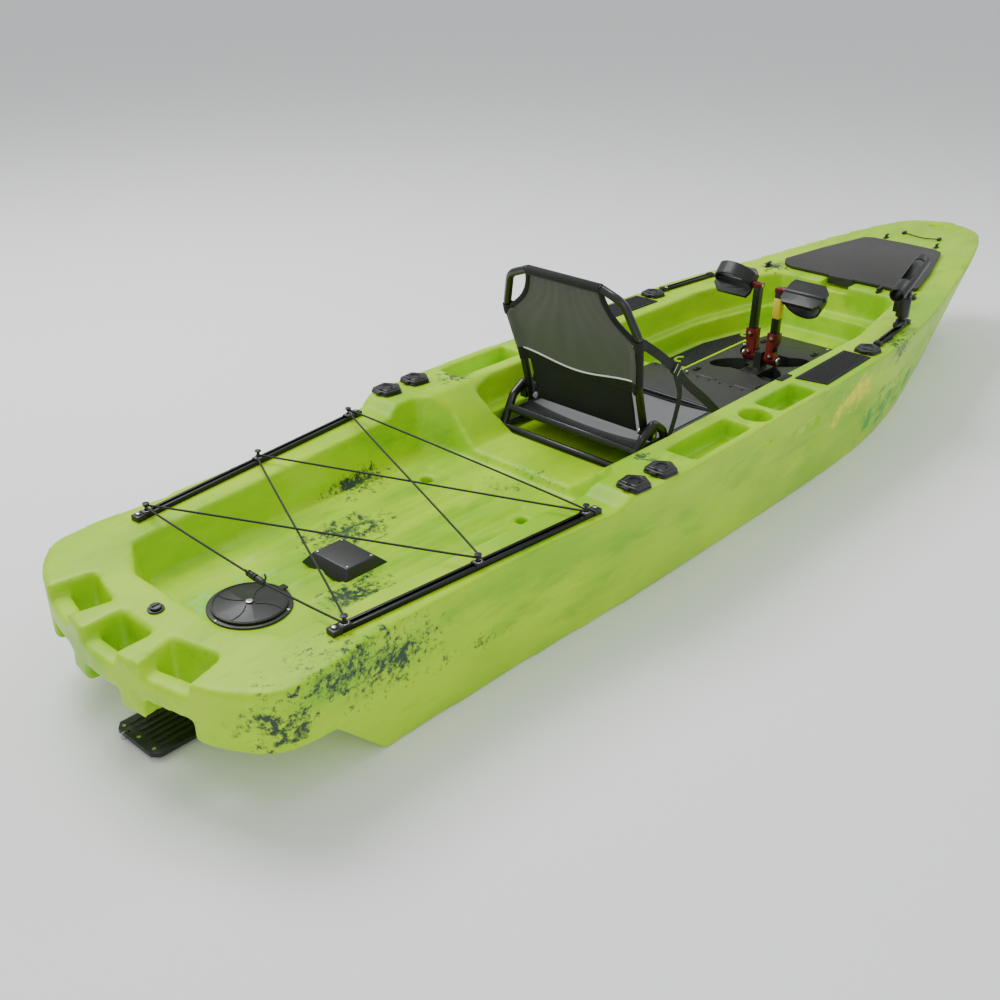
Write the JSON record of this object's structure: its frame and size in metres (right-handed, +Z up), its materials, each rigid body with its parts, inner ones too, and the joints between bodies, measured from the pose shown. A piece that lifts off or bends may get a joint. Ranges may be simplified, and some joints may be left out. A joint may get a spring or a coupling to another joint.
{
  "type": "pedal-drive sit-on-top boat",
  "caption": "Lime pedal-drive sit-on-top boat with a folding mesh seat, swinging pedals over folded fins, laced tankwell, bow hatch, rod holders and a stowed rudder.",
  "frame": {"origin": "on the ground under the middle of the hull", "axes": "+X towards the bow, +Y to port, +Z up"},
  "size_m": [3.9484, 0.9301, 0.7133],
  "materials": {
    "hull_plastic": "rotomoulded polyethylene, satin",
    "black_plastic": "moulded, fine texture",
    "pad_foam": "embossed foam",
    "deck_sheet": "olive-grey sheet",
    "frame_metal": "black powder coat",
    "track_metal": "black anodised",
    "steel": "stainless",
    "red_casting": "red anodised",
    "seat_mesh": "grey mesh",
    "black_cloth": "nylon",
    "cord": "elastic cord",
    "fin_rubber": "flexible fin"
  },
  "bodies": {
    "hull": {"hull": "hull_plastic", "drive_plate": "deck_sheet", "drive_liner": "black_plastic", "foot_mats": "pad_foam", "deck_pads": "pad_foam", "gear_tracks": "track_metal", "track_end_caps": "black_plastic", "bungee_posts": "steel", "bungee_cord": "cord", "bungee_adjuster": "black_plastic", "rod_flanges": "black_plastic", "round_hatch_ring": "black_plastic", "small_screws": "steel", "sounder_box": "black_plastic", "drain_seat": "black_plastic", "bow_hatch_gasket": "pad_foam", "deck_cleats": "black_plastic", "bow_handle_toggles": "black_plastic", "bow_handle_cord": "cord", "rest_base": "black_plastic", "seat_base_frame": "frame_metal", "seat_sling": "seat_mesh", "seat_pivot_bolts": "steel", "seat_straps": "black_cloth", "drive_spine": "black_plastic", "drive_axle": "steel", "rudder_housing": "black_plastic", "lever_base": "black_plastic"},
    "centre_hatch": {"centre_hatch_lid": "black_plastic", "centre_hatch_hardware": "steel"},
    "round_hatch": {"round_hatch_lid": "black_plastic"},
    "drain_plug": {"drain_plug": "black_plastic"},
    "scupper_plug_port": {"scupper_plug_port": "black_plastic"},
    "scupper_plug_starboard": {"scupper_plug_starboard": "black_plastic"},
    "bow_hatch": {"bow_hatch_lid": "deck_sheet"},
    "rest_arm": {"rest_arm": "black_plastic"},
    "rest_tube": {"rest_tube": "black_plastic"},
    "seat_back": {"seat_back_frame": "frame_metal", "seat_back_panel": "seat_mesh", "seat_rear_panel": "black_cloth"},
    "pedal_arm_port": {"crank_port": "red_casting", "mast_port": "frame_metal"},
    "pedal_arm_starboard": {"crank_starboard": "red_casting", "mast_starboard": "frame_metal"},
    "pedal_port": {"pedal_port": "black_plastic"},
    "pedal_starboard": {"pedal_starboard": "black_plastic"},
    "fin_drum_front": {"fin_drum_front": "black_plastic"},
    "fin_drum_rear": {"fin_drum_rear": "black_plastic"},
    "fin_front": {"fin_front": "fin_rubber"},
    "fin_rear": {"fin_rear": "fin_rubber"},
    "rudder_head": {"rudder_head": "black_plastic"},
    "rudder_blade": {"rudder_blade": "black_plastic", "rudder_hardware": "steel"},
    "rudder_lever": {"rudder_lever": "black_plastic"},
    "rod_cap_aft_port": {"rod_cap_aft_port": "black_plastic"},
    "rod_cap_aft_starboard": {"rod_cap_aft_starboard": "black_plastic"},
    "rod_cap_mid_port": {"rod_cap_mid_port": "black_plastic"},
    "rod_cap_mid_starboard": {"rod_cap_mid_starboard": "black_plastic"},
    "rod_cap_front_port": {"rod_cap_front_port": "black_plastic"},
    "rod_cap_front_starboard": {"rod_cap_front_starboard": "black_plastic"}
  },
  "joints": [
    {"name": "centre_hatch_open", "type": "hinge", "parent": "hull", "child": "centre_hatch", "pos_m": [0.166, 0, 0.227], "axis": [0, 1, 0], "range_deg": [0, 90]},
    {"name": "round_hatch_turn", "type": "hinge", "parent": "hull", "child": "round_hatch", "pos_m": [-1.615, 0, 0.2], "axis": [0, 0, 1], "range_deg": [0, 45]},
    {"name": "drain_plug_turn", "type": "hinge", "parent": "hull", "child": "drain_plug", "pos_m": [-1.834, 0, 0.29387], "axis": [-0.0612, 0, 0.9981], "range_deg": [0, 180]},
    {"name": "scupper_plug_port_lift", "type": "slide", "parent": "hull", "child": "scupper_plug_port", "axis": [0, 0, 1], "range_m": [0, 0.036]},
    {"name": "scupper_plug_starboard_lift", "type": "slide", "parent": "hull", "child": "scupper_plug_starboard", "axis": [0, 0, 1], "range_m": [0, 0.036]},
    {"name": "bow_hatch_open", "type": "hinge", "parent": "hull", "child": "bow_hatch", "pos_m": [1.54614, 0, 0.39059], "axis": [0, 1, 0], "range_deg": [0, 95]},
    {"name": "rest_swivel", "type": "hinge", "parent": "hull", "child": "rest_arm", "pos_m": [0.69185, -0.37905, 0.36424], "axis": [-0.014, 0, 0.9999], "range_deg": [-90, 90]},
    {"name": "rest_tilt", "type": "hinge", "parent": "rest_arm", "child": "rest_tube", "pos_m": [0.69039, -0.37905, 0.46823], "axis": [-0.1, 0.995, -0.0014], "range_deg": [-20, 30]},
    {"name": "seat_back_fold", "type": "hinge", "parent": "hull", "child": "seat_back", "pos_m": [-0.458, 0, 0.297], "axis": [0, 1, 0], "range_deg": [0, 100]},
    {"name": "pedal_swing", "type": "hinge", "parent": "hull", "child": "pedal_arm_port", "pos_m": [0.505, 0, 0.206], "axis": [0, 1, 0], "range_deg": [-25, 25]},
    {"name": "pedal_swing_starboard", "type": "hinge", "parent": "hull", "child": "pedal_arm_starboard", "pos_m": [0.505, 0, 0.206], "axis": [0, 1, 0], "range_deg": [-25, 25]},
    {"name": "pedal_port_turn", "type": "hinge", "parent": "pedal_arm_port", "child": "pedal_port", "pos_m": [0.505, 0, 0.446], "axis": [0, 1, 0], "continuous": true},
    {"name": "pedal_starboard_turn", "type": "hinge", "parent": "pedal_arm_starboard", "child": "pedal_starboard", "pos_m": [0.505, 0, 0.446], "axis": [0, 1, 0], "continuous": true},
    {"name": "fin_front_flap", "type": "hinge", "parent": "hull", "child": "fin_drum_front", "pos_m": [0.505, 0, 0.06], "axis": [1, 0, 0], "range_deg": [-56, 56]},
    {"name": "fin_rear_flap", "type": "hinge", "parent": "hull", "child": "fin_drum_rear", "pos_m": [0.505, 0, 0.06], "axis": [1, 0, 0], "range_deg": [-56, 56]},
    {"name": "fin_front_fold", "type": "hinge", "parent": "fin_drum_front", "child": "fin_front", "pos_m": [0.6043, 0, 0.06], "axis": [0, 1, 0], "range_deg": [0, 90]},
    {"name": "fin_rear_fold", "type": "hinge", "parent": "fin_drum_rear", "child": "fin_rear", "pos_m": [0.4057, 0, 0.06], "axis": [0, -1, 0], "range_deg": [0, 90]},
    {"name": "rudder_steer", "type": "hinge", "parent": "hull", "child": "rudder_head", "pos_m": [-1.643, 0, 0], "axis": [0, 0, 1], "range_deg": [-35, 35]},
    {"name": "rudder_stow", "type": "hinge", "parent": "rudder_head", "child": "rudder_blade", "pos_m": [-1.677, 0, 0.016], "axis": [-0.5774, -0.5774, -0.5774], "range_deg": [0, 120]},
    {"name": "rudder_lever_turn", "type": "hinge", "parent": "hull", "child": "rudder_lever", "pos_m": [-0.241, 0.402, 0.34597], "axis": [-0.0048, 0, 1], "range_deg": [-40, 40]},
    {"name": "rod_cap_aft_port_open", "type": "hinge", "parent": "hull", "child": "rod_cap_aft_port", "pos_m": [-0.77242, 0.417, 0.34841], "axis": [0, 1, 0], "range_deg": [0, 110]},
    {"name": "rod_cap_aft_starboard_open", "type": "hinge", "parent": "hull", "child": "rod_cap_aft_starboard", "pos_m": [-0.77242, -0.417, 0.34841], "axis": [0, 1, 0], "range_deg": [0, 110]},
    {"name": "rod_cap_mid_port_open", "type": "hinge", "parent": "hull", "child": "rod_cap_mid_port", "pos_m": [-0.66442, 0.418, 0.34893], "axis": [0, 1, 0], "range_deg": [0, 110]},
    {"name": "rod_cap_mid_starboard_open", "type": "hinge", "parent": "hull", "child": "rod_cap_mid_starboard", "pos_m": [-0.66442, -0.418, 0.34893], "axis": [0, 1, 0], "range_deg": [0, 110]},
    {"name": "rod_cap_front_port_open", "type": "hinge", "parent": "hull", "child": "rod_cap_front_port", "pos_m": [0.46753, 0.398, 0.35509], "axis": [0, 1, 0], "range_deg": [0, 100]},
    {"name": "rod_cap_front_starboard_open", "type": "hinge", "parent": "hull", "child": "rod_cap_front_starboard", "pos_m": [0.46753, -0.398, 0.35509], "axis": [0, 1, 0], "range_deg": [0, 100]}
  ],
  "couplings": [
    {"joint": "pedal_swing_starboard", "follows": "pedal_swing", "ratio": -1},
    {"joint": "fin_front_flap", "follows": "pedal_swing", "ratio": 2.2},
    {"joint": "fin_rear_flap", "follows": "pedal_swing", "ratio": -2.2},
    {"joint": "rudder_lever_turn", "follows": "rudder_steer", "ratio": 1.14}
  ]
}
